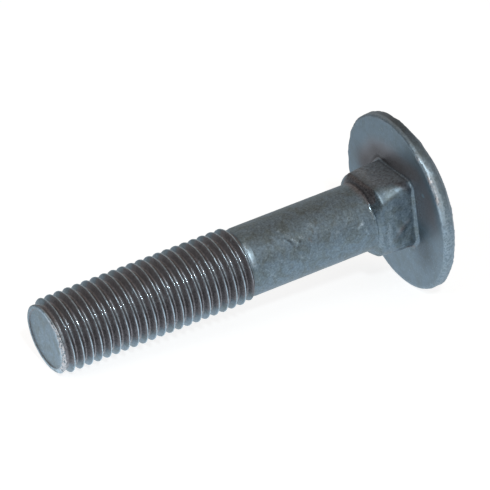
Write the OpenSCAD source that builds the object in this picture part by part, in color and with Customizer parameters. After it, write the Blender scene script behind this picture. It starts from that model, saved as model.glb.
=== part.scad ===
// Carriage bolt: a domed round head, a short square neck, a plain shank and a rolled metric thread.
// It is one solid piece. It lies at rest on the rim of the head and on the thread next to the tip.
// Origin at the centre of the head's flat underside, on the bolt's own axis.
// +X points from the head to the tip as seen from above, +Z is up. All sizes are in millimetres.

/* [Lengths] */
// From the flat underside of the head to the tip
bolt_length = 80; // [50:1:150]
// From the tip to the step where the thread meets the plain shank
thread_length = 43.5; // [20:0.5:60]

/* [Thread] */
// Diameter over the crests
thread_d = 15.8; // [15:0.1:16]
// Distance from one crest to the next
pitch = 2; // [1.5:0.25:2.5]
// Depth of the groove
thread_depth = 1.23; // [0.9:0.01:1.5]
// Width of the crest
crest_w = 0.3; // [0.2:0.05:0.5]
// How much higher the middle of the crest is than its edges
crest_crown = 0.08; // [0.02:0.01:0.15]
// Half of the angle between two facing flanks
flank_angle = 30; // [25:1:32]
// Turn of the thread's start about the axis
thread_turn = -149; // [-180:1:180]
// Straight pieces in one turn of the thread
thread_steps = 36; // [24:4:40]

/* [Tip] */
// Diameter of the end face
tip_d = 14.2; // [13.6:0.1:15]
// Diameter of the shallow dish in the end face
dish_d = 12.4; // [8:0.1:13]
// Depth of the dish
dish_depth = 0.25; // [0.1:0.05:0.5]
// How far the end face is out of square
tip_slant = 3.5; // [0:0.5:4]
// Direction in which the end face slopes back towards the head
tip_slant_turn = 80; // [0:5:360]

/* [Shank] */
// Diameter of the plain shank
shank_d = 14.5; // [14:0.1:15]
// Length of the conical step at the thread's end
step_length = 0.8; // [0.4:0.1:1.5]

/* [Neck] */
// Width across the flats
neck_w = 16; // [15.3:0.1:16.7]
// Length from the underside of the head
neck_length = 8.6; // [7:0.1:13]
// Diameter that the corners are rounded to
neck_corner_d = 19.4; // [18.5:0.1:21]
// Radius of the rounding where the corners start at the shank
neck_nose_r = 2.2; // [1:0.1:2.4]
// Length of the small cone between the neck and the shank
neck_cone = 0.4; // [0.2:0.1:1]
// Size of the sloped root where the neck's flats meet the head
neck_root = 0.7; // [0.3:0.1:1.5]
// Size of the sloped root where the neck's corners meet the head
corner_root = 1.2; // [0.3:0.1:2]
// Turn of the square about the axis
neck_turn = 0; // [0:1:89]

/* [Head] */
// Diameter of the head
head_d = 38; // [37.2:0.1:38.8]
// Height of the head
head_height = 8.3; // [8:0.05:8.95]
// Height of the straight rim under the dome
rim_height = 2.1; // [1:0.1:3]
// Radius of the rim's edge at the underside
rim_round = 0.5; // [0.3:0.1:1]

/* [Hidden] */
$fn = 96;
// Facets around the head, and how far the neck reaches into the head
head_fn = 160;
bury = 1;
head_r = head_d / 2;
shank_r = shank_d / 2;
crest_r = thread_d / 2;
root_r = crest_r - thread_depth;
dome_h = head_height - rim_height;
dome_r = (head_r * head_r + dome_h * dome_h) / (2 * dome_h);
neck_corner_r = neck_corner_d / 2;
tip_r = tip_d / 2;
dish_r = dish_d / 2;
// How far the cut at the tip reaches past the end face on its high side
tip_extra = tip_r * tan(tip_slant);
// The collars at both ends of the thread stand this far above the groove's bottom
collar_over = 0.1;
collar_r = root_r + collar_over;
// The hidden core stays this far below the groove's bottom
core_under = 0.3;
core_r = root_r - core_under;
// Least length of the tip's straight edge, and the length over which it falls to the collar
edge_min = 0.15;
edge_fall = 0.4;
edge_z = tip_extra + edge_min;
collar_z = edge_z + edge_fall;
// Small length by which one form reaches into the next
inset = 0.1;
// Length over which the crest's start comes out of the collar, and over which it grows to its full height
rise = 0.3;
growth = 0.95;
crest_from = collar_z - inset;
crest_full = crest_from + growth;
// How far before the thread's end the crest starts to sink, and how far behind it the crest is gone
sink_before = 1.5;
sink_behind = 1;
crest_fade = thread_length - sink_before;
crest_end = thread_length + sink_behind;
// The wedge of metal between a crest's middle and the groove's bottom, along the axis
half_crest = crest_w / 2;
half_ridge = half_crest + thread_depth * tan(flank_angle);
// The first full crest that passes the bolt's lowest line
crest_down = pitch * (ceil(crest_full / pitch + thread_turn / 360) - thread_turn / 360);
// The bolt's tilt: the axis dips towards the tip until that crest meets the plane under the rim
run = bolt_length - crest_down + rim_round;
drop = head_r - rim_round - crest_r;
dip = atan2(drop, run) + asin(rim_round / norm([run, drop]));

// Domed head above the plane z = 0, reaching down to z = -head_height, with a rounded edge at the underside.
module head() {
  intersection() {
    translate([0, 0, dome_r - head_height])
      sphere(r = dome_r, $fn = head_fn);
    rotate_extrude($fn = head_fn) {
      translate([0, -head_height])
        square([head_r - rim_round, head_height]);
      translate([0, -head_height])
        square([head_r, head_height - rim_round]);
      translate([head_r - rim_round, -rim_round])
        circle(r = rim_round);
    }
  }
}

// Envelope that the neck's corners are rounded to: a cylinder with a rounded nose towards the shank.
module neck_envelope() {
  rotate_extrude() {
    square([neck_corner_r, neck_length - neck_nose_r]);
    square([neck_corner_r - neck_nose_r, neck_length]);
    translate([neck_corner_r - neck_nose_r, neck_length - neck_nose_r])
      circle(r = neck_nose_r);
  }
}

// Square neck with rounded corners and a sloped root at the head.
module neck() {
  rotate([0, 0, neck_turn]) {
    intersection() {
      neck_envelope();
      translate([-neck_w / 2, -neck_w / 2, -bury])
        cube([neck_w, neck_w, neck_length + bury]);
    }
    intersection() {
      translate([0, 0, -bury])
        cylinder(r1 = neck_corner_r + corner_root + bury, r2 = neck_corner_r, h = corner_root + bury);
      union() {
        translate([-neck_w / 2, -neck_w / 2, -bury])
          cube([neck_w, neck_w, corner_root + bury]);
        hull() {
          translate([-neck_w / 2 - neck_root, -neck_w / 2 - neck_root, -bury])
            cube([neck_w + 2 * neck_root, neck_w + 2 * neck_root, bury]);
          translate([-neck_w / 2, -neck_w / 2, -bury])
            cube([neck_w, neck_w, neck_root + bury]);
        }
      }
    }
  }
}

// Plain shank with the cone under the neck, the step at the thread's end, the core, and the collar with the end face.
// Here z is counted from the tip towards the head.
module shank() {
  difference() {
    rotate_extrude()
      polygon([[0, -tip_extra],
               [tip_r, -tip_extra],
               [tip_r, edge_z],
               [collar_r, collar_z],
               [collar_r, crest_full + pitch / 2],
               [core_r, crest_full + pitch],
               [core_r, crest_fade - pitch],
               [collar_r, crest_fade - pitch / 2],
               [collar_r, thread_length - step_length],
               [shank_r, thread_length],
               [shank_r, bolt_length - neck_length - neck_cone],
               [shank_r + neck_cone, bolt_length - neck_length + neck_cone],
               [shank_r + neck_cone, bolt_length],
               [0, bolt_length]]);
    rotate([-tip_slant * sin(tip_slant_turn), -tip_slant * cos(tip_slant_turn), 0]) {
      translate([-2 * tip_r, -2 * tip_r, -tip_r])
        cube([4 * tip_r, 4 * tip_r, tip_r]);
      translate([0, 0, -1])
        cylinder(r1 = dish_r + 1, r2 = dish_r, h = 1);
      translate([0, 0, -1])
        cylinder(r = dish_r, h = 1 + dish_depth);
    }
  }
}

// Radius of the crest's middle at the distance c from the tip: it grows at the tip and sinks at the shank.
function crest_at(c) =
  lookup(c, [[crest_from, root_r],
             [crest_from + rise, tip_r],
             [crest_full, crest_r],
             [crest_fade, crest_r],
             [crest_end, root_r]]);

// The five lines that run along one ridge: distance from its middle, and share of the ridge's height.
RIDGE = [[-half_ridge, 0], [-half_crest, 1 - crest_crown / thread_depth], [0, 1],
         [half_crest, 1 - crest_crown / thread_depth], [half_ridge, 0]];
LINES = len(RIDGE);
STEPS = floor(thread_steps * (crest_end - crest_from) / pitch);

// Point on line a at step k. A line that would start in front of the collar's edge is held inside the collar.
function thread_point(k, a) =
  let(turn = 360 * k / thread_steps + 360 * crest_from / pitch,
      c = crest_from + pitch * k / thread_steps,
      z = c + RIDGE[a][0],
      r = root_r + (crest_at(c) - root_r) * RIDGE[a][1])
  [r * cos(turn), r * sin(turn), max(z, edge_z + inset)];

function at(k, a) = k * LINES + a;

// The threaded length as one closed surface that winds about the axis, z counted from the tip.
module thread() {
  points = concat([for (k = [0 : STEPS]) for (a = [0 : LINES - 1]) thread_point(k, a)],
                  [[0, 0, crest_from + pitch / 2], [0, 0, crest_end - pitch / 2]]);
  first = len(points) - 2;
  last = len(points) - 1;
  n = thread_steps;
  front = concat([for (k = [0 : n]) at(k, 0)], [for (a = [LINES - 1 : -1 : 1]) at(0, a)]);
  back = concat([for (k = [STEPS - n : STEPS]) at(k, LINES - 1)], [for (a = [LINES - 2 : -1 : 0]) at(STEPS, a)]);
  faces = concat(
    [for (k = [0 : STEPS - 1]) for (a = [0 : LINES - 2]) [at(k, a), at(k, a + 1), at(k + 1, a + 1)]],
    [for (k = [0 : STEPS - 1]) for (a = [0 : LINES - 2]) [at(k, a), at(k + 1, a + 1), at(k + 1, a)]],
    [for (k = [0 : STEPS - n - 1]) [at(k, LINES - 1), at(k + n, 0), at(k + n + 1, 0)]],
    [for (k = [0 : STEPS - n - 1]) [at(k, LINES - 1), at(k + n + 1, 0), at(k + 1, LINES - 1)]],
    [for (i = [0 : len(front) - 1]) [front[i], front[(i + 1) % len(front)], first]],
    [for (i = [0 : len(back) - 1]) [back[(i + 1) % len(back)], back[i], last]]);
  polyhedron(points = points, faces = faces, convexity = 12);
}

// The whole bolt, laid on the rim of its head and on the thread near its tip.
module carriage_bolt() {
  color([0.46, 0.5, 0.53])
    rotate([0, 90 + dip, 0]) {
      head();
      neck();
      translate([0, 0, bolt_length])
        rotate([180, 0, 0]) {
          shank();
          rotate([0, 0, thread_turn])
            thread();
        }
    }
}

carriage_bolt();
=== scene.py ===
"""Carriage bolt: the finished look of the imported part, laid out as an add-on.

The bolt is one closed surface. Its end face, shank, neck and head are rings of points; the rolled
thread between them is made by Geometry Nodes. Work is done in the bolt's own frame, in
millimetres: z runs from the flat underside of the head to the tip, and s is the distance from the
tip. The bolt is laid down in the frame of the part at the end.
"""

import math

import bmesh
import bpy
import numpy as np
from bpy.props import FloatProperty, FloatVectorProperty, IntProperty, PointerProperty
from mathutils import Matrix, Vector


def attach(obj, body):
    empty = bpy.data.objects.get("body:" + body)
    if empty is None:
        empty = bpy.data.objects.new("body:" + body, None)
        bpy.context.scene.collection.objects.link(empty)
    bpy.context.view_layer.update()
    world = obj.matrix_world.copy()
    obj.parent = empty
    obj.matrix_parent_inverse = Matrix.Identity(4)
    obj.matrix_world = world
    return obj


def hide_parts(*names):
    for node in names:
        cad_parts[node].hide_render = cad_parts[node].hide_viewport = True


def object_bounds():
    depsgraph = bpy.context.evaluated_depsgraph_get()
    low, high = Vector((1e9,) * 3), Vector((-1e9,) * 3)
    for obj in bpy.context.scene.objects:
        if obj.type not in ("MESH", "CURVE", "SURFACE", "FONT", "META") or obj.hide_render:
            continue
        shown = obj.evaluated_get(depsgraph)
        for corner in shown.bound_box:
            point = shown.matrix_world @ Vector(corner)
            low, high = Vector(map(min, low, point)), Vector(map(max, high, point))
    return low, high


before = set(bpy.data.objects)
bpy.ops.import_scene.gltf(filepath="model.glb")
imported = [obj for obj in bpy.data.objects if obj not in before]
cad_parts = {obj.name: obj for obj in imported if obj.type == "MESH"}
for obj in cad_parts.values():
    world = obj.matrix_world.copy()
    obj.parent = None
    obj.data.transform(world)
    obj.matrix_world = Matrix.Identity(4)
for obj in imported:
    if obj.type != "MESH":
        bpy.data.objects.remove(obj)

CAD_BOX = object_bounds()

bl_info = {
    "name": "Carriage bolt",
    "version": (1, 0, 0),
    "blender": (4, 5, 0),
    "location": "3D View > Sidebar > Carriage bolt",
    "description": "Makes a carriage bolt with its rolled thread and zinc finish, and a studio",
    "category": "Object",
}

MM = 0.001
NODE = "carriage_bolt"

# Rows of points on each stretch of the surface
FACE_ROWS = 17
SHANK_ROWS = 76
NECK_ROWS = 15
UNDERSIDE_ROWS = 22
RIM_ROWS = 4
DOME_ROWS = 34

# Millimetres: the collar's height over the bottom of the groove, the distance from the tip at which
# the threaded zone starts, and how far it reaches past the thread
COLLAR_HEIGHT = 0.13
ZONE_FROM = 0.9
ZONE_PAST = 2.5

# Zones around the bolt: the middle, and the reach to each side, in degrees. In the photo 122 faces
# the camera, 212 faces up and 32 down, and the lamp glints on 128
ZONES = {
    "burr": (95, 105),
    "burr flare": (78, 95),
    "torn face": (95, 65),
    "clear lip": (340, 50),
    "dark wall": (275, 60),
    "front corner": (135, 40),
    "lower corner": (45, 40),
    "rear corner": (225, 40),
    "notch shade": (200, 100),
    "shank top shade": (165, 38),
    "shank edge": (202, 22),
    "shank front": (95, 25),
    "root side": (85, 48),
    "sharp root": (185, 62),
    "lit rim": (123, 37),
    "right of neck": (112, 48),
    "below neck": (57, 42),
    "behind neck": (252, 26),
    "shade of neck": (212, 70),
    "rim shade": (195, 60),
    "lower rim": (0, 50),
    "rim top shade": (172, 45),
    "light rim side": (85, 55),
    "dome edge shade": (136, 45),
}
# Spans around the bolt: where each one starts and is full, then where it fades and is gone
SPANS = {
    "black": (128, 142, 205, 225),
    "dim": (98, 128, 205, 225),
    "upper": (126, 142, 248, 272),
    "bevel": (40, 52, 122, 134),
}

# The camera as it was solved together with the bolt's outline, and the width of its film
EYE = (0.3000017, 0.4839672, 0.2707542)
GAZE = (-0.430792, -0.786585, -0.442383)
FILM = 36.0
# Directions from the bolt to the lamps, from the glints in the photo; they hang around one point
KEY_WAY = (0.235, 0.72, 0.653)
SIDE_WAY = (0.695, 0.35, 0.629)
LAMP_AIM = (0.045, 0.0, -0.005)
LAMP_FAR = 0.8
# Half of the floor's side, in metres
FLOOR_HALF = 4.0


def length(name, description, default):
    """A size property, given in millimetres and kept in metres."""
    return FloatProperty(name=name, description=description, default=default * MM, min=0.0,
                         unit="LENGTH", precision=5)


def degrees(name, description, default):
    """An angle property, given in degrees."""
    return FloatProperty(name=name, description=description, default=math.radians(default),
                         subtype="ANGLE")


def share(name, description, default):
    """A property between 0 and 1."""
    return FloatProperty(name=name, description=description, default=default, min=0.0, max=1.0,
                         subtype="FACTOR")


def tint(name, description, default):
    """A colour property."""
    return FloatVectorProperty(name=name, description=description, default=default, size=3,
                               min=0.0, max=1.0, subtype="COLOR")


class BoltSizes(bpy.types.PropertyGroup):
    """Sizes of the bolt."""

    bolt_length: length("Length", "From the flat underside of the head to the tip", 80)
    thread_length: length("Thread length", "From the tip to the step at the plain shank", 43.5)
    thread_d: length("Thread diameter", "Over the crests", 15.8)
    pitch: length("Pitch", "From one crest to the next", 2)
    thread_depth: length("Groove depth", "From the crests to the bottom of the groove", 1.23)
    crest_w: length("Crest width", "Width of the crest", 0.14)
    crest_bumps: length("Crest unevenness", "How much the height of the crests varies", 0.028)
    flank: degrees("Flank", "Half of the angle between two facing flanks", 32)
    groove_round: share("Groove rounding", "Share of the depth that is rounded at the bottom", 0.22)
    thread_turn: degrees("Thread turn", "Where the helix starts about the axis", 149)
    tip_d: length("End face", "Diameter of the end face", 14.2)
    dish_d: length("Dish", "Diameter of the shallow dish in the end face", 12.4)
    dish_depth: length("Dish depth", "Depth of the dish", 0.25)
    lip_round: length("Lip rounding", "Rounding of the end face's outer edge", 0.22)
    burr: length("Burr", "How far the shearing burr sticks out of the end face's edge", 0.34)
    tip_slant: degrees("Slant", "How far the end face is out of square", 3.5)
    tip_slant_turn: degrees("Slant turn", "Where the end face slopes back towards the head", 80)
    shank_d: length("Shank", "Diameter of the plain shank", 14.5)
    step_length: length("Step", "Length of the conical step at the thread's end", 0.8)
    neck_w: length("Neck width", "Across the flats of the square neck", 16)
    neck_length: length("Neck length", "From the underside of the head", 8.6)
    neck_corner_d: length("Neck corners", "Diameter that the corners are rounded to", 19.3)
    notch: length("Notch", "Rounded notch between the shank and the neck", 0.42)
    root_fillet: length("Root fillet", "Rounding where the neck meets the head", 0.6)
    head_d: length("Head", "Diameter of the head", 38)
    head_height: length("Head height", "From the underside to the top of the dome", 8.3)
    rim_height: length("Rim", "Height of the rim under the dome", 2.1)
    rim_round: length("Rim rounding", "Rounding of the rim at the underside", 0.6)
    dip: degrees("Dip", "How far the axis dips towards the tip where the bolt lies at rest",
                 8.136646567)
    columns: IntProperty(name="Columns", description="Points around the bolt", default=160, min=24)
    rows: IntProperty(name="Rows", description="Rows of points in one pitch", default=16, min=8)
    seed: IntProperty(name="Seed", description="Seed of the small unevenness", default=7, min=0)


class BoltFinish(bpy.types.PropertyGroup):
    """Colours and gloss of the zinc."""

    zinc: tint("Zinc", "Bluish zinc", (0.235, 0.31, 0.375))
    dull: tint("Dull zinc", "Greenish grey blotches", (0.195, 0.24, 0.255))
    stain: tint("Stains", "Small brownish stains", (0.17, 0.17, 0.165))
    # Also the colour of painted shade: on the thread's flanks, the shank's top, around the neck and
    # on the rim's top
    grime_and_shade: tint("Grime", "Brown grey in the grooves", (0.265, 0.24, 0.25))
    # Also nearly black painted shade in the notch and under the head by the neck
    soot_and_shade: tint("Soot", "Nearly black stains in the notches", (0.05, 0.042, 0.04))
    # Also the colour of the painted highlights
    worn: tint("Worn metal", "Bare edges and scuffs", (0.49, 0.60, 0.68))
    torn: tint("Torn metal", "Rough torn edge of the end face", (0.64, 0.61, 0.62))
    gloss: share("Roughness", "Roughness of the shank", 0.48)
    grain: share("Grain", "Strength of the fine grain in the gloss", 0.35)


class StudioSettings(bpy.types.PropertyGroup):
    """Light and camera."""

    key: FloatProperty(name="Key lamp", description="Power of the small lamp", default=1.6,
                       min=0.0, unit="POWER")
    side: FloatProperty(name="Side lamp", description="Power of the wide lamp", default=1.0,
                        min=0.0, unit="POWER")
    overhead: tint("Overhead", "What the metal reflects from above", (0.38, 0.33, 0.29))
    lens: FloatProperty(name="Lens", description="Focal length in millimetres", default=226.98,
                        min=1.0)


class Num:
    """A number in a node tree. Plain arithmetic on it adds Math nodes."""

    def __init__(self, tree, socket):
        self.tree = tree
        self.socket = socket

    def math(self, operation, *others):
        node = self.tree.nodes.new("ShaderNodeMath")
        node.operation = operation
        for place, value in zip(node.inputs, (self, *others)):
            plug(self.tree, place, value)
        return Num(self.tree, node.outputs[0])

    def __add__(self, other):
        return self.math("ADD", other)

    def __sub__(self, other):
        return self.math("SUBTRACT", other)

    def __mul__(self, other):
        return self.math("MULTIPLY", other)

    def __truediv__(self, other):
        return self.math("DIVIDE", other)

    def ramp(self, start, end, low=0.0, high=1.0, smooth=True):
        """Goes from low to high while the number goes from start to end."""
        node = self.tree.nodes.new("ShaderNodeMapRange")
        node.interpolation_type = "SMOOTHSTEP" if smooth else "LINEAR"
        for name, value in (("Value", self), ("From Min", start), ("From Max", end),
                            ("To Min", low), ("To Max", high)):
            plug(self.tree, node.inputs[name], value)
        return Num(self.tree, node.outputs["Result"])


def plug(tree, place, value):
    """Sets a socket, or links a number or another socket to it."""
    if isinstance(value, Num):
        tree.links.new(value.socket, place)
    elif isinstance(value, bpy.types.NodeSocket):
        tree.links.new(value, place)
    else:
        place.default_value = value


def add_node(tree, kind, inputs=(), **settings):
    """Adds a node with its settings and its inputs, given by name or number."""
    node = tree.nodes.new(kind)
    for name, value in settings.items():
        setattr(node, name, value)
    for name, value in dict(inputs).items():
        plug(tree, node.inputs[name], value)
    return node


def smooth_min(a, b, k):
    """The smaller of two arrays, with the corner between them rounded over k."""
    h = np.clip(0.5 + 0.5 * (b - a) / k, 0, 1)
    return b + (a - b) * h - k * h * (1 - h)


def ease(x, start, end):
    """0 before start, 1 after end, smooth between."""
    t = np.clip((x - start) / (end - start), 0, 1)
    return t * t * (3 - 2 * t)


class Profile:
    """The sizes in millimetres, and the angles of the columns of points."""

    def __init__(self, sizes):
        for name in sizes.__annotations__:
            setattr(self, name, getattr(sizes, name))
        for name, prop in sizes.bl_rna.properties.items():
            if prop.type == "FLOAT" and getattr(prop, "unit", "") == "LENGTH":
                setattr(self, name, getattr(sizes, name) / MM)
        self.phi = 2 * math.pi * np.arange(self.columns) / self.columns
        self.ones = np.ones(self.columns)
        self.step = self.pitch / self.rows
        self.crest_r = self.thread_d / 2
        self.root_r = self.crest_r - self.thread_depth
        self.collar_r = self.root_r + COLLAR_HEIGHT
        self.tip_r = self.tip_d / 2
        self.dish_r = self.dish_d / 2
        self.shank_r = self.shank_d / 2
        self.neck_corner_r = self.neck_corner_d / 2
        self.head_r = self.head_d / 2
        self.neck_s = self.bolt_length - self.neck_length
        # Both ends of the threaded zone lie on whole rows
        self.zone_start = math.floor(ZONE_FROM / self.step) * self.step
        self.zone_end = round((self.thread_length + ZONE_PAST) / self.step) * self.step
        self.slope = math.tan(self.tip_slant) * np.cos(self.phi - self.tip_slant_turn)

    def ring(self, r, s):
        """One ring of points at the radius r and the distance s from the tip."""
        r = r * self.ones
        z = self.bolt_length - s * self.ones
        return np.stack([r * np.cos(self.phi), r * np.sin(self.phi), z], 1)

    def zone(self, name):
        """1 in the middle of a zone, falling smoothly to 0 at its sides."""
        middle, reach = ZONES[name]
        off = np.degrees(np.angle(np.exp(1j * (self.phi - math.radians(middle)))))
        return 0.5 + 0.5 * np.cos(np.pi * np.clip(off / reach, -1, 1))

    def span(self, name):
        """1 inside a span, falling smoothly to 0 before and behind it."""
        start, full, fading, gone = SPANS[name]
        degree = np.degrees(self.phi)
        return ease(degree, start, full) * (1 - ease(degree, fading, gone))


class Ring:
    """One ring of points with its marks.

    uneven is in millimetres. worn is below 0 where the zinc is tarnished and where shade is
    painted, up to 1 where the metal shows and where highlights are painted, and up to 2 where it is
    torn and where the rim's painted highlight is strongest. grime is up to 0.35 where it is
    brownish, and 1 to 2 where it is nearly black; both hold real dirt and painted shade.
    """

    def __init__(self, p, r, s, uneven=0.0, worn=0.0, grime_and_shade=0.0):
        self.points = p.ring(r, s)
        self.marks = np.stack([uneven * p.ones, worn * p.ones, grime_and_shade * p.ones], 1)


def end_face_rings(p):
    """From the middle of the end face over its lip to the start of the threaded zone."""
    # The shearing burr sticks out on the side of the face that slopes back
    burr = p.zone("burr")
    flare = p.burr * p.zone("burr flare")
    clear = 0.5 * p.zone("clear lip")
    rings = []

    def add(r, s, *marks):
        rings.append(Ring(p, r, s + p.slope * r, *marks))

    for r in np.linspace(0.4, p.dish_r - 0.25, FACE_ROWS):
        torn = 1.7 * p.zone("torn face") * ease(r, p.dish_r - 1.5, p.dish_r - 0.6)
        add(r, p.dish_depth, 0.035, torn)
    # The dish wall is bare by the burr, and darker on one side: painted shade
    wall = 2.0 * burr - 0.9 * p.zone("dark wall")
    for past, low in ((-0.12, 0.9), (-0.03, 0.55), (0.06, 0.12)):
        add(p.dish_r + past, p.dish_depth * low, 0.04 + 0.2 * burr, wall, 0.2 * (1 - burr))
    lip = 0.8 * (p.tip_r - p.dish_r)
    for t in (0.25, 0.5, 0.75):
        add(p.dish_r + (lip + flare) * t, -0.02, 0.06 + 0.5 * burr, 0.2 + 2.6 * burr + clear)
    for turn in (0, 30, 60, 90):
        a = math.radians(turn)
        add(p.tip_r + flare - p.lip_round * (1 - math.sin(a)), p.lip_round * (1 - math.cos(a)),
            0.05 + 0.55 * burr, 0.15 + 2.9 * burr + clear)
    # Behind the lip the collar starts square to the axis
    start = 0.3 + p.slope * p.tip_r
    rings.append(Ring(p, p.tip_r + flare, start, 0.05 + 0.3 * burr, 0.3 * burr, 0.5))
    for t in (0.25, 0.5, 0.75, 1.0):
        r = p.tip_r + flare + (p.collar_r - p.tip_r - flare) * ease(t, 0.1, 1.0)
        rings.append(Ring(p, r, start + (p.zone_start - start) * t, 0.04 * (1 - t), 0.0, 0.6))
    return rings


def shank_rings(p):
    """The plain shank, from the threaded zone to the notch."""
    # The shank gets painted shade, darker and browner, on its upper side and by the notch on its
    # upper half. It is lighter along its upper edge and on its front
    top_shade = p.zone("shank top shade")
    tone = 0.1 * p.zone("shank edge") + 0.07 * p.zone("shank front") - 0.2 * top_shade
    rings = []
    for s in np.linspace(p.zone_end, p.neck_s - p.notch - 0.05, SHANK_ROWS):
        near = ease(s, p.neck_s - 2.2, p.neck_s - 0.5)
        rings.append(Ring(p, p.shank_r, s, 0.02, tone,
                          0.06 * top_shade + 0.3 * near * p.zone("notch shade")))
    return rings


def neck_radius(p, s):
    """Radius of the square neck, its corners rounded, at the distance s from the tip."""
    t = s - p.neck_s
    # The corners are not alike: the one in front is the fullest. They have a steep nose
    full = p.zone("front corner")
    reach = p.neck_corner_r + 0.95 * full - 0.2 * p.zone("lower corner") \
        - 0.45 * p.zone("rear corner")
    nose = p.shank_r + p.notch + 1.5 * t
    slow = reach - (0.35 + 0.55 * full) * (1 - ease(t, 0.8, 6.2))
    flats = p.neck_w / 2 / np.maximum(np.abs(np.cos(p.phi)), np.abs(np.sin(p.phi)))
    return smooth_min(flats, smooth_min(nose, slow, 0.35), 0.3)


def neck_rings(p):
    """The notch, the square neck and its root at the head."""
    rings = []

    def add(r, s, *marks):
        rings.append(Ring(p, r, s, *marks))

    # The notch and the nose get painted shade, nearly black, above the point where they catch the
    # lamp
    black, dim, upper = p.span("black"), -0.9 * p.span("dim"), p.span("upper")
    for turn in (18, 36, 54, 72, 88):
        a = math.radians(turn)
        add(p.shank_r + p.notch * (1 - math.cos(a)), p.neck_s - p.notch * (1 - math.sin(a)),
            0.03, dim, 0.05 + 1.3 * black)
    for t in (0.12, 0.26, 0.4, 0.55, 0.7, 0.85, 1.0, 1.12, 1.24, 1.38, 1.55, 1.8, 2.15):
        add(neck_radius(p, p.neck_s + t), p.neck_s + t, 0.09, dim * (1 - ease(t, 0.9, 2.0)),
            0.03 + black * (1.15 - 1.0 * ease(t, 0.5, 1.2)))
    # The upper faces of the neck get painted light: lighter and a little browner
    for s in np.linspace(p.neck_s + 2.5, p.bolt_length - 1.2 * p.root_fillet - 0.1, NECK_ROWS):
        add(neck_radius(p, s), s, 0.13, 0.32 * upper, 0.23 * upper)
    # The root is nearly sharp on the upper side, and a flat bevel on the side beside it. It gets
    # painted shade on the upper side, and is a little darker on the bevel side
    foot, root, bevel = neck_radius(p, p.bolt_length), root_size(p), p.span("bevel")
    for turn in (0, 15, 30, 45, 60, 75, 90):
        a = math.radians(turn)
        out = (1 - math.cos(a)) * (1 - bevel) + turn / 90 * bevel
        up = (1 - math.sin(a)) * (1 - bevel) + (1 - turn / 90) * bevel
        add(foot + root * out, p.bolt_length - root * up,
            0.05, -0.12 * p.zone("root side") - 0.4 * upper, 0.05 + 0.1 * upper)
    return rings


def root_size(p):
    """Size of the root between the neck and the head."""
    return p.root_fillet * (1 - 0.7 * p.zone("sharp root") - 0.2 * p.span("bevel"))


def underside_rings(p):
    """The flat underside of the head, with painted shade around the neck, mostly above it."""
    upper, lit, right = p.span("upper"), p.zone("lit rim"), p.zone("right of neck")
    below, behind, shade = p.zone("below neck"), p.zone("behind neck"), p.zone("shade of neck")
    inside = neck_radius(p, p.bolt_length) + root_size(p)
    outside = p.head_r - p.rim_round
    rings = []
    for t in np.linspace(0, 1, UNDERSIDE_ROWS + 2)[1:-1]:
        # The outer edge gets a painted highlight where the rim is lit. Right of the neck the zinc
        # is lighter and browner; above, below and behind the neck it gets painted shade, nearly
        # black close to it
        worn = 0.7 * lit * ease(t, 0.93, 0.97) \
            + (0.12 * upper + 0.3 * right) * (1 - ease(t, 0.1, 0.75)) \
            - 0.9 * below * (1 - ease(t, 0.25, 1.0)) \
            - 0.9 * behind * (1 - ease(t, 0.4, 0.9)) \
            - 1.0 * shade * (1 - ease(t, 0.15, 0.5))
        grime_and_shade = 0.32 * upper * (1 - ease(t, 0.15, 0.85)) + 0.33 * right * (1 - ease(t, 0.6, 1.1)) \
            + 0.1 * behind + 1.5 * shade * (1 - ease(t, 0.03, 0.24))
        rings.append(Ring(p, inside + (outside - inside) * t, p.bolt_length, 0.05, worn, grime_and_shade))
    return rings


def head_rings(p):
    """The rim, with its rubbed edge at the underside, and the dome. The lit edge gets a painted
    highlight, and the top of the rim and the dome's edge get painted shade.
    """
    rings = []

    def add(r, behind, *marks):
        rings.append(Ring(p, r, p.bolt_length + behind, *marks))

    # The rim is wavy, less so where the bolt lies on it
    wavy = 1 - 0.85 * p.zone("lower rim")
    # dull is painted shade on the top of the rim, and the brownish tint below is painted shade on
    # its upper side. lit is a painted highlight, whitish and grainy where it is strongest. The
    # lower side is lighter: rubbed metal and painted light
    dull, brightened, lit = -0.45 * p.zone("rim top shade"), 0.45 * p.zone("light rim side"), p.zone("lit rim")
    grime_and_shade = 0.14 * p.zone("rim shade")
    for turn in (0, 18, 36, 54, 72, 90):
        a = math.radians(turn)
        add(p.head_r - p.rim_round * (1 - math.sin(a)), p.rim_round * (1 - math.cos(a)),
            0.24 * wavy, 0.2 + 0.85 * brightened + 1.2 * lit - 0.2 * dull, grime_and_shade)
    for behind in np.linspace(p.rim_round, p.rim_height - 0.25, RIM_ROWS + 1)[1:]:
        add(p.head_r, behind, 0.26 * wavy,
            brightened + 2.4 * dull + 1.15 * lit * (1 - ease(behind, 0.8, 1.6)), grime_and_shade)
    add(p.head_r - 0.07, p.rim_height - 0.08, 0.26 * wavy, brightened + 2.4 * dull, grime_and_shade)
    dome_h = p.head_height - p.rim_height
    dome_r = (p.head_r ** 2 + dome_h ** 2) / (2 * dome_h)
    edge = math.asin(p.head_r / dome_r)
    # The dome's edge gets painted shade on top and on the side around 136
    for t in np.linspace(0.985, 0.02, DOME_ROWS):
        near = ease(t, 0.7, 0.9)
        add(dome_r * math.sin(edge * t), p.head_height - dome_r * (1 - math.cos(edge * t)),
            0.08 + 0.2 * near * wavy, (dull - 0.55 * p.zone("dome edge shade")) * near)
    return rings


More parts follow.
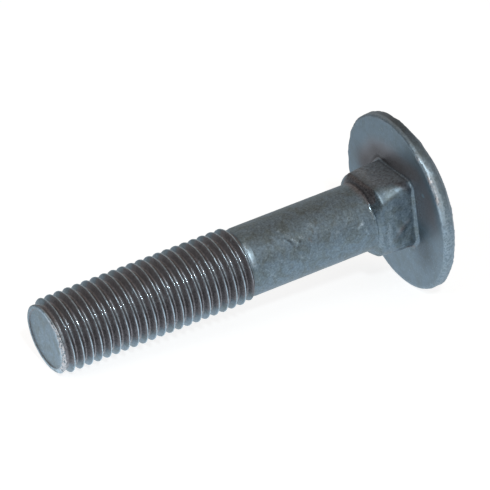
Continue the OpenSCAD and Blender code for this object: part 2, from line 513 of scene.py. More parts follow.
def shell(rings, pole, pole_last):
    """Points, faces and marks of a surface through rings, closed by a point at one of its ends."""
    n = len(rings[0].points)
    points = np.concatenate([ring.points for ring in rings] + [[pole]])
    marks = np.concatenate([ring.marks for ring in rings] + [[(0.03, 0.0, 0.0)]])
    faces = []
    for k in range(len(rings) - 1):
        a = k * n + np.arange(n)
        b = k * n + (np.arange(n) + 1) % n
        faces += np.stack([a, b, b + n, a + n], 1).tolist()
    last = len(points) - 1
    ring = (len(rings) - 1) * n if pole_last else 0
    for j in range(n):
        pair = [ring + j, ring + (j + 1) % n]
        faces.append([*pair, last] if pole_last else [pair[1], pair[0], last])
    return points, faces, marks


# Marks: two ends as (angle, distance from the tip, radius), half width, worn, grime, depth.
# The angles are in degrees, the rest in millimetres; worn and grime are as in Ring

# Scuffs on the shank, with the two crossed scratches in the middle of it
SHANK_MARKS = (
    ((148.8, 50.9, 7.25), (148.8, 51.5, 7.25), 0.22, 0.9, 0.0, 0.02),
    ((170.4, 48.0, 7.25), (170.4, 48.2, 7.25), 0.3, 0.4, 0.0, 0.02),
    ((137.0, 52.0, 7.25), (127.0, 53.0, 7.25), 0.2, 0.75, 0.0, 0.04),
    ((130.0, 51.7, 7.25), (121.0, 52.6, 7.25), 0.26, -0.9, 0.0, 0.11),
    ((127.5, 53.0, 7.25), (116.0, 53.9, 7.25), 0.2, 0.75, 0.0, 0.04),
    ((121.0, 54.3, 7.25), (112.0, 53.6, 7.25), 0.26, -0.9, 0.0, 0.11),
    ((125.7, 54.6, 7.25), (124.7, 55.1, 7.25), 0.25, 0.7, 0.0, 0.02),
    ((119.0, 56.3, 7.25), (112.0, 56.7, 7.25), 0.22, 0.0, 0.25, 0.05),
    ((138.9, 57.5, 7.25), (138.0, 58.0, 7.25), 0.45, 0.55, 0.0, 0.03),
    ((125.9, 66.0, 7.25), (125.0, 66.4, 7.25), 0.45, 0.4, 0.0, 0.03),
    ((106.0, 67.3, 7.25), (109.0, 68.3, 7.25), 0.3, 1.0, 0.0, 0.05),
    ((109.0, 68.3, 7.25), (114.0, 68.5, 7.25), 0.25, 0.7, 0.0, 0.03),
    ((98.0, 69.0, 7.25), (90.0, 69.3, 7.25), 0.25, 0.45, 0.0, 0.02),
    ((95.8, 53.7, 7.25), (94.8, 54.1, 7.25), 0.25, 0.6, 0.0, 0.02),
    ((83.3, 46.9, 7.25), (80.0, 47.2, 7.25), 0.45, 0.4, 0.0, 0.02),
    ((112.4, 62.3, 7.25), (111.0, 62.8, 7.25), 0.3, 0.5, 0.0, 0.02),
    ((104.0, 49.0, 7.25), (101.0, 49.4, 7.25), 0.3, 0.35, 0.0, 0.02),
)
# Bright specks and a scratch on the thread, the burr's clean side, and the lit shoulder with a
# painted highlight
THREAD_MARKS = (
    ((147.0, 17.9, 7.7), (134.0, 17.6, 7.4), 0.1, 1.0, -1.0, 0.03),
    ((149.8, 33.2, 6.8), (149.0, 33.3, 6.9), 0.16, 1.0, -1.0, 0.0),
    ((176.4, 37.0, 6.8), (175.4, 37.0, 6.9), 0.16, 1.0, -1.0, 0.0),
    ((164.7, 41.4, 7.3), (163.7, 41.5, 7.3), 0.16, 1.0, -1.0, 0.0),
    ((114.2, 23.6, 7.0), (113.2, 23.6, 7.1), 0.16, 0.8, -1.0, 0.0),
    ((56.0, 2.3, 7.9), (52.0, 2.3, 7.9), 0.18, 1.0, -1.0, 0.04),
    ((232.0, 1.6, 7.4), (190.0, 1.4, 7.3), 0.7, 0.3, -1.3, -0.1),
    ((145.0, 43.1, 7.0), (110.0, 43.3, 7.1), 0.55, 0.9, -2.0, 0.0),
)
# The glint in the notch and the lit corner, both painted highlights; a darker spot on the corner
# and the creases, with painted shade; and the bare edges of the neck
NECK_MARKS = (
    ((133.0, 71.15, 7.4), (111.0, 71.2, 7.45), 0.24, 1.2, -2.0, 0.0),
    ((136.0, 73.6, 9.8), (134.0, 75.4, 10.2), 1.2, -0.1, -1.0, 0.0),
    ((136.5, 75.6, 10.4), (133.5, 76.2, 10.5), 0.45, 0.25, 0.0, 0.0),
    ((143.0, 72.8, 9.9), (127.0, 72.9, 9.8), 0.2, 0.8, -1.0, 0.0),
    ((122.0, 72.5, 9.0), (80.0, 72.3, 8.0), 0.3, 0.3, 0.0, 0.0),
    ((104.5, 75.1, 8.2), (102.0, 75.3, 8.1), 0.3, 0.5, 0.0, 0.0),
    ((98.0, 73.8, 8.0), (66.0, 73.2, 8.5), 0.6, 0.6, 0.0, -0.05),
    ((90.0, 78.4, 8.0), (80.0, 76.4, 8.1), 0.7, 0.0, 0.16, 0.14),
    ((80.0, 76.4, 8.1), (66.0, 74.8, 8.5), 0.8, 0.0, 0.12, 0.12),
    ((84.0, 78.6, 8.0), (74.0, 77.4, 8.3), 0.6, 0.15, 0.0, -0.06),
    ((138.0, 77.6, 10.5), (130.0, 78.7, 10.5), 0.9, -0.9, 0.1, 0.35),
    ((212.0, 71.9, 8.6), (236.0, 72.3, 9.2), 0.5, 0.6, -0.5, 0.0),
    ((92.0, 71.6, 8.4), (60.0, 71.5, 8.4), 0.5, 0.35, 0.0, 0.0),
    ((108.0, 74.6, 8.5), (116.0, 73.5, 8.9), 0.7, 0.3, 0.0, 0.0),
    ((137.2, 79.6, 10.7), (136.2, 79.6, 10.7), 0.2, 1.0, -2.0, 0.0),
    ((44.0, 78.2, 9.4), (38.0, 79.6, 9.9), 0.4, 0.0, 0.6, 0.2),
)
# A speck under the head, nicks in the rim's edge and flat spots on the dome
HEAD_MARKS = (
    ((119.3, 80.0, 13.6), (118.9, 80.0, 13.7), 0.22, 1.0, -1.0, 0.03),
    ((127.5, 80.1, 18.8), (125.0, 80.1, 18.8), 0.3, 1.0, 0.0, 0.1),
    ((144.8, 80.1, 18.7), (142.0, 80.1, 18.7), 0.4, 1.0, 0.0, 0.12),
    ((116.0, 80.1, 18.8), (113.0, 80.1, 18.8), 0.3, 0.8, 0.0, 0.08),
    ((156.5, 81.6, 19.0), (155.0, 81.7, 19.0), 0.6, 0.0, 0.0, -0.2),
    ((149.5, 84.0, 16.0), (148.0, 84.0, 16.0), 0.8, 0.0, 0.0, -0.2),
    ((123.0, 84.0, 16.0), (121.0, 84.0, 16.0), 0.8, 0.0, 0.0, -0.2),
    ((105.0, 83.2, 17.4), (102.0, 83.2, 17.4), 0.8, 0.0, 0.0, -0.2),
)
MARKS = SHANK_MARKS + THREAD_MARKS + NECK_MARKS + HEAD_MARKS

# Smooth spots that mirror the lamp: two ends as above, half width, how smooth
SMOOTH_SPOTS = (
    ((136.0, 71.1, 7.3), (112.0, 71.15, 7.35), 0.35, 0.85),
    ((145.0, 43.3, 7.1), (105.0, 43.3, 7.1), 0.35, 0.5),
    ((140.0, 80.2, 18.8), (106.0, 80.2, 18.8), 0.5, 0.4),
)


def nearness(p, points, first, last, width):
    """1 on the line between two ends on the surface, falling to 0 beside it."""
    a, b = (np.array([r * math.cos(math.radians(t)), r * math.sin(math.radians(t)),
                      p.bolt_length - s]) for t, s, r in (first, last))
    along = np.clip((points - a) @ (b - a) / max((b - a) @ (b - a), 1e-9), 0, 1)
    gap = np.linalg.norm(points - a - along[:, None] * (b - a), axis=1)
    return np.exp(-(gap / width) ** 2)


def put_marks(p, mesh):
    """Presses the marks into the surface and notes them for the finish.

    The mesh is still in the bolt's own frame.
    """
    count = len(mesh.vertices)
    flat = np.empty(count * 3)
    mesh.vertices.foreach_get("co", flat)
    points = flat.reshape(-1, 3) / MM
    mesh.vertex_normals.foreach_get("vector", flat)
    normals = flat.reshape(-1, 3).copy()
    fields = {}
    for name in ("worn", "groove"):
        values = np.empty(count, np.float32)
        mesh.attributes[name].data.foreach_get("value", values)
        fields[name] = values.astype(float)
    sunk = np.zeros(count)
    for first, last, width, worn, grime_and_shade, depth in MARKS:
        amount = nearness(p, points, first, last, width)
        fields["worn"] += worn * amount
        fields["groove"] += grime_and_shade * amount
        sunk += depth * amount
    mesh.attributes.new("shine", "FLOAT", "POINT")
    fields["shine"] = sum(much * nearness(p, points, *spot) for *spot, much in SMOOTH_SPOTS)
    for name, values in fields.items():
        mesh.attributes[name].data.foreach_set("value", values.astype(np.float32))
    moved = (points - normals * sunk[:, None]) * MM
    mesh.vertices.foreach_set("co", moved.ravel())
    mesh.update()


def body_mesh(p):
    """Everything but the threaded zone, in metres."""
    tip = shell(end_face_rings(p), (0, 0, p.bolt_length - p.dish_depth), False)
    rest = shell(shank_rings(p) + neck_rings(p) + underside_rings(p) + head_rings(p),
                 (0, 0, -p.head_height), True)
    shift = len(tip[0])
    faces = tip[1] + [[v + shift for v in f] for f in rest[1]]
    mesh = bpy.data.meshes.new("carriage_bolt_body")
    mesh.from_pydata((np.concatenate([tip[0], rest[0]]) * MM).tolist(), [], faces)
    marks = np.concatenate([tip[2], rest[2]])
    for column, name in enumerate(("uneven", "worn", "groove")):
        layer = mesh.attributes.new(name, "FLOAT", "POINT")
        layer.data.foreach_set("value", marks[:, column].astype(np.float32))
    mesh.update()
    return mesh


def thread_inputs(p):
    """Values for the inputs of the thread's node tree, in millimetres and turns."""
    return {
        "Columns": p.columns,
        "Rows per pitch": p.rows,
        "Seed": float(p.seed),
        "Bolt length": p.bolt_length,
        "Zone start": p.zone_start,
        "Zone end": p.zone_end,
        "Thread length": p.thread_length,
        "Pitch": p.pitch,
        "Crest radius": p.crest_r,
        "Groove depth": p.thread_depth,
        "Crest half width": p.crest_w / 2,
        "Flank slope": math.tan(p.flank),
        "Groove rounding": p.groove_round,
        "Turn": math.degrees(p.thread_turn) / 360,
        "Collar radius": p.collar_r,
        "Shank radius": p.shank_r,
        "Step length": p.step_length,
        "Unevenness": p.crest_bumps,
    }


def thread_grid(tree, value):
    """A flat grid, and for its points the share of a turn and the distance from the tip."""
    start, end = value("Zone start"), value("Zone end")
    pitch, rows = value("Pitch"), value("Rows per pitch")
    step = pitch / rows
    count = ((end - start) / step).math("ROUND")
    grid = add_node(tree, "GeometryNodeMeshGrid",
                    {"Size X": 1.0, "Size Y": 1.0,
                     "Vertices X": value("Columns") + 1.0, "Vertices Y": count + 1.0})
    split = add_node(tree, "ShaderNodeSeparateXYZ",
                     {0: add_node(tree, "GeometryNodeInputPosition").outputs[0]})
    column = ((Num(tree, split.outputs["X"]) + 0.5) * value("Columns")).math("ROUND")
    row = ((Num(tree, split.outputs["Y"]) * -1.0 + 0.5) * count).math("ROUND")
    phase = column / value("Columns")
    # Rows are shifted by a part of a step, so that one of them runs along every crest
    shift = ((value("Turn") - phase) * rows).math("FRACT")
    near_end = row.math("MINIMUM", count - row) / 2.0
    settled = near_end.math("MINIMUM", 1.0)
    even = start + (row + shift * settled) * step
    # Rows stand closer together along the crest and along the groove's bottom
    gather = (even / pitch + phase - value("Turn")) * (4 * math.pi)
    s = even - gather.math("SINE") * settled * pitch * (0.6 / (4 * math.pi))
    return grid.outputs["Mesh"], phase, s


def thread_surface(tree, value, phase, s):
    """Place of each point of the threaded zone, and how high it is on the crest, from 0 to 1."""
    angle = phase * (2 * math.pi)
    cosine, sine = angle.math("COSINE"), angle.math("SINE")
    spot = add_node(tree, "ShaderNodeCombineXYZ", {0: cosine * 8.0, 1: sine * 8.0, 2: s})
    uneven = add_node(tree, "ShaderNodeTexNoise",
                      {"Vector": spot.outputs[0], "W": value("Seed"), "Scale": 0.9, "Detail": 2.0},
                      noise_dimensions="4D")
    bumps = (Num(tree, uneven.outputs["Fac"]) - 0.5) * value("Unevenness") * 2.0
    pitch, depth, start = value("Pitch"), value("Groove depth"), value("Zone start")
    turns = s / pitch + phase - value("Turn")
    off = (turns - turns.math("ROUND")).math("ABSOLUTE") * pitch
    rise = (off - value("Crest half width")) / (depth * value("Flank slope")) * -1.0 + 1.0
    rise = rise.math("SMOOTH_MAX", 0.0, value("Groove rounding")).math("SMOOTH_MIN", 1.0, 0.05)
    root = value("Crest radius") - depth
    # The crest grows in two steps at the tip, and sinks at the shank
    grown = s.ramp(start, start + 0.3) * 0.35 + s.ramp(start + 0.3, start + 0.95) * 0.65
    height = grown * s.ramp(value("Thread length") - 1.5, value("Thread length") + 0.5, 1.0, 0.0)
    ridge = root + rise * height * (depth + bumps)
    collar = value("Collar radius") - s.ramp(start, start + 2.0) * 0.15
    # The step at the shank is steep at its foot and nearly flat above
    foot = value("Thread length") - value("Step length")
    knee = value("Thread length") - value("Step length") * 0.45
    shoulder = s.ramp(foot, knee, root - 0.1, value("Shank radius") - 0.26, smooth=False) \
        + s.ramp(knee, knee + 1.0, 0.0, 0.26, smooth=False)
    radius = ridge.math("SMOOTH_MAX", collar, 0.08).math("SMOOTH_MAX", shoulder, 0.08)
    place = add_node(tree, "ShaderNodeCombineXYZ",
                     {0: radius * cosine * MM, 1: radius * sine * MM,
                      2: (value("Bolt length") - s) * MM})
    return place.outputs[0], rise * height


def thread_marks(tree, value, mesh, phase, s, crest):
    """Stores dirt, rubbed metal, painted shade and painted highlights of the thread,
    in the same attributes as the rings.
    """
    angle = phase * (2 * math.pi)

    def facing(degree):
        return (angle - math.radians(degree)).math("COSINE")

    on_thread = s.ramp(value("Thread length") - 1.1, value("Thread length") - 0.4, 1.0, 0.0)
    # Dirt with painted shade darkens the flanks from beside the crest. Less of it on the lower side
    # and at the top paints those sides lighter; the grooves keep some dirt all round
    flank_grime_and_shade = facing(15).ramp(0.25, 0.95, 1.0, 0.1) * facing(217).ramp(0.8, 1.0, 1.0, 0.2)
    flanks = crest.ramp(0.84, 0.98, 1.3, 0.0) * flank_grime_and_shade * flank_grime_and_shade
    groove = flanks.math("MAXIMUM", crest.ramp(0.0, 0.35, 0.3, 0.0))
    # Crests are rubbed bright. The groove's bottoms that face the lamp get a painted highlight,
    # and the flanks and grooves around 80 are darker
    lit = facing(121).ramp(0.88, 0.995) * on_thread
    turned = facing(80).ramp(0.82, 0.98) * on_thread
    brightened = crest.ramp(0.9, 1.0) * 0.9 + crest.ramp(0.0, 0.06, 0.8, 0.0) * lit
    brightened = brightened - turned * crest.ramp(0.85, 0.97, 0.45, 0.0)
    for name, number in (("groove", groove * on_thread), ("worn", brightened), ("uneven", 0.02),
                         ("crest", crest), ("thread", on_thread)):
        mesh = add_node(tree, "GeometryNodeStoreNamedAttribute",
                        {"Geometry": mesh, "Name": name, "Value": number},
                        data_type="FLOAT", domain="POINT").outputs[0]
    return mesh


def forged_skin(tree, value, geometry):
    """Makes the surface uneven along its normals, as forging and plating leave it."""
    at = add_node(tree, "GeometryNodeInputPosition").outputs[0]
    soft = add_node(tree, "ShaderNodeTexNoise",
                    {"Vector": at, "W": value("Seed"), "Scale": 0.33 / MM, "Detail": 1.5},
                    noise_dimensions="4D")
    fine = add_node(tree, "ShaderNodeTexNoise",
                    {"Vector": at, "W": value("Seed") + 5.0, "Scale": 1.3 / MM, "Detail": 1.0},
                    noise_dimensions="4D")
    swell = (Num(tree, soft.outputs["Fac"]) - 0.5) * 2.2 \
        + (Num(tree, fine.outputs["Fac"]) - 0.5) * 1.2
    amount = Num(tree, add_node(tree, "GeometryNodeInputNamedAttribute", {"Name": "uneven"},
                                data_type="FLOAT").outputs[0])
    along = add_node(tree, "ShaderNodeVectorMath",
                     {0: add_node(tree, "GeometryNodeInputNormal").outputs[0],
                      "Scale": swell * amount * MM}, operation="SCALE")
    shaken = add_node(tree, "GeometryNodeSetPosition",
                      {"Geometry": geometry, "Offset": along.outputs[0]})
    return shaken.outputs[0]


def thread_tree(p, material):
    """Geometry Nodes that wind the rolled thread between the end face and the shank.

    Returns the tree and the value of each input, by the input's identifier.
    """
    tree = bpy.data.node_groups.new("Rolled thread", "GeometryNodeTree")
    face = tree.interface
    face.new_socket(name="Body", in_out="INPUT", socket_type="NodeSocketGeometry")
    face.new_socket(name="Bolt", in_out="OUTPUT", socket_type="NodeSocketGeometry")
    inputs = thread_inputs(p)
    kinds = {int: "NodeSocketInt", float: "NodeSocketFloat"}
    sockets = {name: face.new_socket(name=name, in_out="INPUT", socket_type=kinds[type(number)])
               for name, number in inputs.items()}
    given = tree.nodes.new("NodeGroupInput")
    result = tree.nodes.new("NodeGroupOutput")

    def value(name):
        return Num(tree, given.outputs[name])

    grid, phase, s = thread_grid(tree, value)
    place, crest = thread_surface(tree, value, phase, s)
    marked = thread_marks(tree, value, grid, phase, s, crest)
    wound = add_node(tree, "GeometryNodeSetPosition", {"Geometry": marked, "Position": place})
    joined = tree.nodes.new("GeometryNodeJoinGeometry")
    tree.links.new(given.outputs["Body"], joined.inputs[0])
    tree.links.new(wound.outputs[0], joined.inputs[0])
    merged = add_node(tree, "GeometryNodeMergeByDistance",
                      {"Geometry": joined.outputs[0], "Distance": 0.002 * MM})
    skin = forged_skin(tree, value, merged.outputs[0])
    # Short diagonals keep the crests as unbroken lines
    cut = add_node(tree, "GeometryNodeTriangulate", {0: skin}, quad_method="SHORTEST_DIAGONAL")
    smooth = add_node(tree, "GeometryNodeSetShadeSmooth", {"Geometry": cut.outputs[0]})
    real = add_node(tree, "GeometryNodeRealizeInstances", {"Geometry": smooth.outputs[0]})
    coated = add_node(tree, "GeometryNodeSetMaterial", {"Geometry": real.outputs[0]})
    coated.inputs["Material"].default_value = material
    tree.links.new(coated.outputs[0], result.inputs[0])
    return tree, {sockets[name].identifier: number for name, number in inputs.items()}


def blend(tree, factor, first, second, blend_type="MIX"):
    """Goes from the first colour to the second one, or multiplies them."""
    node = add_node(tree, "ShaderNodeMix", {0: factor}, data_type="RGBA", blend_type=blend_type)
    for place, colour in ((node.inputs[6], first), (node.inputs[7], second)):
        linked = isinstance(colour, bpy.types.NodeSocket)
        plug(tree, place, colour if linked else (*colour, 1.0))
    return node.outputs[2]


def darken(tree, colour, amount):
    """The colour times a number."""
    grey = add_node(tree, "ShaderNodeCombineXYZ", {0: amount, 1: amount, 2: amount})
    return blend(tree, 1.0, colour, grey.outputs[0], "MULTIPLY")


class ZincPattern:
    """Noises and marks for the finish, laid along the bolt's own axis in millimetres."""

    def __init__(self, tree, dip):
        self.tree = tree
        coords = tree.nodes.new("ShaderNodeTexCoord")
        own = add_node(tree, "ShaderNodeMapping", {"Vector": coords.outputs["Object"],
                                                   "Rotation": (0, -math.pi / 2 - dip, 0),
                                                   "Scale": (1 / MM, 1 / MM, 1 / MM)})
        self.place = own.outputs[0]
        self.groove, self.worn = self.mark("groove"), self.mark("worn")
        self.thread, self.crest = self.mark("thread"), self.mark("crest")
        self.speck = self.noise(2.4, 3.0, 0.7)
        self.torn = self.worn.ramp(1.05, 1.9)

    def noise(self, scale, detail, rough, distortion=0.0):
        node = add_node(self.tree, "ShaderNodeTexNoise",
                        {"Vector": self.place, "Scale": scale, "Detail": detail,
                         "Roughness": rough, "Distortion": distortion})
        return Num(self.tree, node.outputs["Fac"])

    def mark(self, name):
        node = add_node(self.tree, "ShaderNodeAttribute", attribute_name=name)
        return Num(self.tree, node.outputs["Fac"])

    def from_axis(self):
        """Distance from the bolt's axis."""
        split = add_node(self.tree, "ShaderNodeSeparateXYZ", {0: self.place})
        x, y = Num(self.tree, split.outputs["X"]), Num(self.tree, split.outputs["Y"])
        return (x.math("POWER", 2.0) + y.math("POWER", 2.0)).math("SQRT")


def zinc_colour(tree, zinc, finish):
    """Zinc with blotches and stains; over it dirt with painted shade, rubbed metal with painted
    highlights, and the torn edge.
    """
    # The head has weaker blotches than the rest
    calm = zinc.from_axis().ramp(9.5, 11.5, 1.0, 0.45)
    blotch = zinc.noise(0.42, 5.0, 0.65, 0.8).ramp(0.36, 0.7) * calm.math("MAXIMUM", 0.55)
    colour = blend(tree, blotch, finish.zinc, finish.dull)
    stain = zinc.noise(1.1, 4.0, 0.7).ramp(0.5, 0.7, 0.0, 0.3) * calm
    colour = blend(tree, stain, colour, finish.stain)
    # Brown dirt and nearly black soot; both also paint shade, the soot where it is deepest
    colour = blend(tree, zinc.groove.ramp(0.03, 0.35, 0.0, 0.85), colour, finish.grime_and_shade)
    colour = blend(tree, zinc.groove.ramp(1.05, 2.0, 0.0, 0.9), colour, finish.soot_and_shade)
    # Lightly rubbed places and painted highlights show metal in patches, except on the thread
    patchy = zinc.noise(1.9, 3.0, 0.6).ramp(0.34, 0.6).math("MAXIMUM", zinc.thread * 0.8)
    patchy = patchy.math("MAXIMUM", zinc.worn.ramp(0.6, 1.0))
    colour = blend(tree, (zinc.worn * patchy).math("MINIMUM", 1.0), colour, finish.worn)
    flecks = zinc.noise(1.7, 3.0, 0.6).ramp(0.58, 0.68, 0.0, 0.25)
    flecks = flecks * zinc.groove.ramp(0.0, 0.1, 1.0, 0.0)
    colour = blend(tree, flecks, colour, finish.worn)
    # The torn colour paints the torn edge, and the rim's highlight where it is strongest
    crumbs = zinc.noise(2.1, 3.0, 0.6)
    colour = blend(tree, zinc.torn * crumbs.ramp(0.41, 0.5, 0.62, 0.0), colour, finish.soot_and_shade)
    colour = blend(tree, zinc.torn * crumbs.ramp(0.44, 0.53), colour, finish.torn)
    # Below 0 the colour is darker: tarnish, and painted shade
    tarnish_and_shade = zinc.worn.ramp(-1.0, 0.0, 0.5, 0.0, smooth=False)
    dots = zinc.speck.ramp(0.36, 0.64, -0.24, 0.24, smooth=False) * calm
    return darken(tree, colour, dots + 1.0 - tarnish_and_shade)


def zinc_roughness(zinc, finish):
    """Fine grain, with smooth spots on the rolled thread that catch the lamp."""
    lines = zinc.crest.ramp(0.9, 0.97) + zinc.crest.ramp(0.0, 0.06, 1.0, 0.0)
    glint = zinc.noise(1.7, 2.0, 0.5).ramp(0.38, 0.47) * zinc.thread * lines
    glint = glint.math("MAXIMUM", zinc.mark("shine"))
    return ((zinc.speck - 0.5) * finish.grain + finish.gloss) * (glint * -0.76 + 1.0)


def zinc_material(finish, dip):
    """Bluish zinc plating: blotches, fine grain, dirt in the grooves, rubbed crests and edges,
    and painted shade and highlights in its colour.
    """
    material = bpy.data.materials.new("zinc_plating")
    material.use_nodes = True
    tree = material.node_tree
    tree.nodes.clear()
    zinc = ZincPattern(tree, dip)
    bump = add_node(tree, "ShaderNodeBump",
                    {"Height": zinc.noise(2.4, 4.0, 0.65), "Strength": zinc.torn * 0.6 + 0.35,
                     "Distance": (zinc.torn * 0.05 + zinc.thread * 0.03 + 0.03) * MM})
    shader = add_node(tree, "ShaderNodeBsdfPrincipled",
                      {"Metallic": 0.82, "Base Color": zinc_colour(tree, zinc, finish),
                       "Roughness": zinc_roughness(zinc, finish), "Normal": bump.outputs[0]})
    out = tree.nodes.new("ShaderNodeOutputMaterial")
    tree.links.new(shader.outputs[0], out.inputs["Surface"])
    return material


def wound_mesh(context, p, material):
    """The whole surface as a plain mesh: the rings, and the thread wound by Geometry Nodes."""
    base = bpy.data.objects.new("bolt_body", body_mesh(p))
    context.scene.collection.objects.link(base)
    tree, values = thread_tree(p, material)
    modifier = base.modifiers.new("Rolled thread", "NODES")
    modifier.node_group = tree
    for identifier, number in values.items():
        modifier[identifier] = number
    context.view_layer.update()
    seen = base.evaluated_get(context.evaluated_depsgraph_get())
    mesh = bpy.data.meshes.new_from_object(seen)
    mesh.name = "carriage_bolt_surface"
    base.modifiers.remove(modifier)
    bpy.data.objects.remove(base)
    return mesh


class OBJECT_OT_carriage_bolt(bpy.types.Operator):
    """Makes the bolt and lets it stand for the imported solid"""

    bl_idname = "object.carriage_bolt_make"
    bl_label = "Carriage bolt"

    def execute(self, context):
        scene = context.scene
        p = Profile(scene.bolt_sizes)
        mesh = wound_mesh(context, p, zinc_material(scene.bolt_finish, p.dip))
        put_marks(p, mesh)
        mesh.transform(Matrix.Rotation(math.pi / 2 + p.dip, 4, "Y"))
        tidy_normals(mesh)
        piece = bpy.data.objects.new("zinc_carriage_bolt", mesh)
        scene.collection.objects.link(piece)
        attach(piece, "root")
        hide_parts(NODE)
        return {"FINISHED"}


def tidy_normals(mesh):
    """Checks that the surface is closed, and turns its faces outwards."""
    work = bmesh.new()
    work.from_mesh(mesh)
    open_edges = sum(not e.is_manifold for e in work.edges)
    if open_edges:
        raise RuntimeError(f"the bolt's surface has {open_edges} open edges")
    bmesh.ops.recalc_face_normals(work, faces=work.faces)
    if work.calc_volume(signed=True) < 0:
        bmesh.ops.reverse_faces(work, faces=work.faces)
    print("bolt: triangles", sum(len(f.verts) - 2 for f in work.faces),
          "volume mm3", round(work.calc_volume() * 1e9, 1))
    work.to_mesh(mesh)
    work.free()


class OBJECT_OT_bolt_studio(bpy.types.Operator):
    """Makes the pale floor, the soft light and the camera"""

    bl_idname = "object.bolt_studio_make"
    bl_label = "Studio"

    def execute(self, context):
        scene = context.scene
        studio = scene.bolt_studio
        lay_floor(scene)
        scene.world = studio_world(studio.overhead)
        hang_lamp(scene, "key", studio.key, 0.07, KEY_WAY, (0.88, 0.96, 1.0))
        hang_lamp(scene, "side", studio.side, 0.3, SIDE_WAY, (0.9, 0.97, 1.0))
        scene.camera = photo_camera(scene, studio.lens)
        scene.view_settings.view_transform = "Standard"
        return {"FINISHED"}


def lay_floor(scene):
    """A wide flat floor under the bolt."""
    half, level = FLOOR_HALF, CAD_BOX[0].z
    corners = [(x * half, y * half, level) for x, y in ((-1, -1), (1, -1), (1, 1), (-1, 1))]
    mesh = bpy.data.meshes.new("floor")
    mesh.from_pydata(corners, [], [(0, 1, 2, 3)])
    mesh.materials.append(floor_material())
    floor = bpy.data.objects.new("floor", mesh)
    scene.collection.objects.link(floor)


def photo_camera(scene, lens):
    """A camera that sees the bolt as the photo does."""
    camera = bpy.data.cameras.new("camera")
    camera.lens = lens
    camera.sensor_width = FILM
    camera.clip_start = 0.05
    camera.clip_end = 20.0
    holder = bpy.data.objects.new("camera", camera)
    holder.location = EYE
    holder.rotation_mode = "QUATERNION"
    holder.rotation_quaternion = Vector(GAZE).to_track_quat("-Z", "Y")
    scene.collection.objects.link(holder)
    return holder


def hang_lamp(scene, name, power, size, way, colour):
    """A round lamp, seen from the bolt in the direction given."""
    lamp = bpy.data.lights.new(name, "AREA")
    lamp.shape = "DISK"
    lamp.size = size
    lamp.energy = power
    lamp.color = colour
    way = Vector(way).normalized()
    holder = bpy.data.objects.new(name, lamp)
    holder.location = Vector(LAMP_AIM) + way * LAMP_FAR
    holder.rotation_mode = "QUATERNION"
    holder.rotation_quaternion = (-way).to_track_quat("-Z", "Y")
    scene.collection.objects.link(holder)


def light_path(tree, output):
    """1 for the rays that the output names, otherwise 0."""
    return Num(tree, add_node(tree, "ShaderNodeLightPath").outputs[output])


def floor_material():
    """Pale floor that keeps the object's shadow and is white to the camera and in the metal."""
    material = bpy.data.materials.new("pale_floor")
    material.use_nodes = True
    tree = material.node_tree
    tree.nodes.clear()
    out = tree.nodes.new("ShaderNodeOutputMaterial")
    paper = add_node(tree, "ShaderNodeBsdfDiffuse", {"Color": (0.45, 0.45, 0.45, 1.0)})
    camera_ray = light_path(tree, "Is Camera Ray")
    glow = add_node(tree, "ShaderNodeEmission", {"Strength": camera_ray * 0.8})
    seen = add_node(tree, "ShaderNodeAddShader", {0: paper.outputs[0], 1: glow.outputs[0]})
    # In the metal the floor is a white pool around the bolt, brightest by the tip, dark beyond it
    coords = tree.nodes.new("ShaderNodeTexCoord")
    split = add_node(tree, "ShaderNodeSeparateXYZ", {0: coords.outputs["Object"]})
    x, y = Num(tree, split.outputs["X"]), Num(tree, split.outputs["Y"])
    across = y.ramp(-0.08, 0.0, 0.58, 0.9) * y.ramp(0.0, 0.1, 1.08, 0.8)
    lengthways = x.ramp(0.02, 0.08, 1.0, 1.2) * x.ramp(0.085, 0.14, 1.0, 0.2)
    edge = y.math("ABSOLUTE").math("MAXIMUM", x * -1.0).ramp(0.08, 0.25, 1.0, 0.3)
    pool = add_node(tree, "ShaderNodeEmission", {"Color": (0.92, 1.0, 1.06, 1.0),
                                                 "Strength": across * lengthways * edge})
    both = add_node(tree, "ShaderNodeMixShader", {0: light_path(tree, "Is Glossy Ray"),
                                                  1: seen.outputs[0], 2: pool.outputs[0]})
    tree.links.new(both.outputs[0], out.inputs["Surface"])
    return material


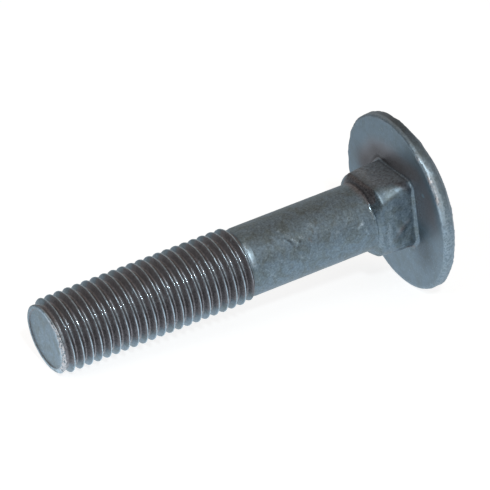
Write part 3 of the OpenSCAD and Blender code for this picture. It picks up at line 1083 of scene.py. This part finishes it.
def studio_world(overhead):
    """White to the camera; to the metal it is white at the horizon and dim overhead."""
    world = bpy.data.worlds.new("studio")
    world.use_nodes = True
    tree = world.node_tree
    tree.nodes.clear()
    out = tree.nodes.new("ShaderNodeOutputWorld")
    coords = tree.nodes.new("ShaderNodeTexCoord")
    split = add_node(tree, "ShaderNodeSeparateXYZ", {0: coords.outputs["Generated"]})
    up = Num(tree, split.outputs["Z"]).ramp(0.0, 0.7, smooth=False).math("POWER", 0.6)
    sky = blend(tree, up, (0.64, 0.68, 0.70), overhead)
    # Beyond the bolt's tip the room is dark
    room = darken(tree, sky, Num(tree, split.outputs["X"]).ramp(0.25, 0.85, 1.0, 0.3))
    seen = blend(tree, light_path(tree, "Is Camera Ray"), room, (1.0, 1.0, 1.0))
    shine = add_node(tree, "ShaderNodeBackground", {"Color": seen, "Strength": 1.0})
    tree.links.new(shine.outputs[0], out.inputs["Surface"])
    return world


class VIEW3D_PT_carriage_bolt(bpy.types.Panel):
    """Lists what the add-on makes"""

    bl_label = "Carriage bolt"
    bl_idname = "VIEW3D_PT_carriage_bolt"
    bl_space_type = "VIEW_3D"
    bl_region_type = "UI"
    bl_category = "Carriage bolt"

    def draw(self, context):
        scene, layout = context.scene, self.layout
        layout.operator(OBJECT_OT_carriage_bolt.bl_idname)
        layout.operator(OBJECT_OT_bolt_studio.bl_idname)
        for group in (scene.bolt_sizes, scene.bolt_finish, scene.bolt_studio):
            box = layout.box()
            for name in group.__annotations__:
                box.prop(group, name)


CLASSES = (BoltSizes, BoltFinish, StudioSettings, OBJECT_OT_carriage_bolt, OBJECT_OT_bolt_studio,
           VIEW3D_PT_carriage_bolt)


def register():
    for cls in CLASSES:
        bpy.utils.register_class(cls)
    bpy.types.Scene.bolt_sizes = PointerProperty(type=BoltSizes)
    bpy.types.Scene.bolt_finish = PointerProperty(type=BoltFinish)
    bpy.types.Scene.bolt_studio = PointerProperty(type=StudioSettings)


def unregister():
    del bpy.types.Scene.bolt_studio
    del bpy.types.Scene.bolt_finish
    del bpy.types.Scene.bolt_sizes
    for cls in reversed(CLASSES):
        bpy.utils.unregister_class(cls)


def main():
    register()
    bpy.ops.object.carriage_bolt_make()
    bpy.ops.object.bolt_studio_make()


if __name__ == "__main__":
    main()
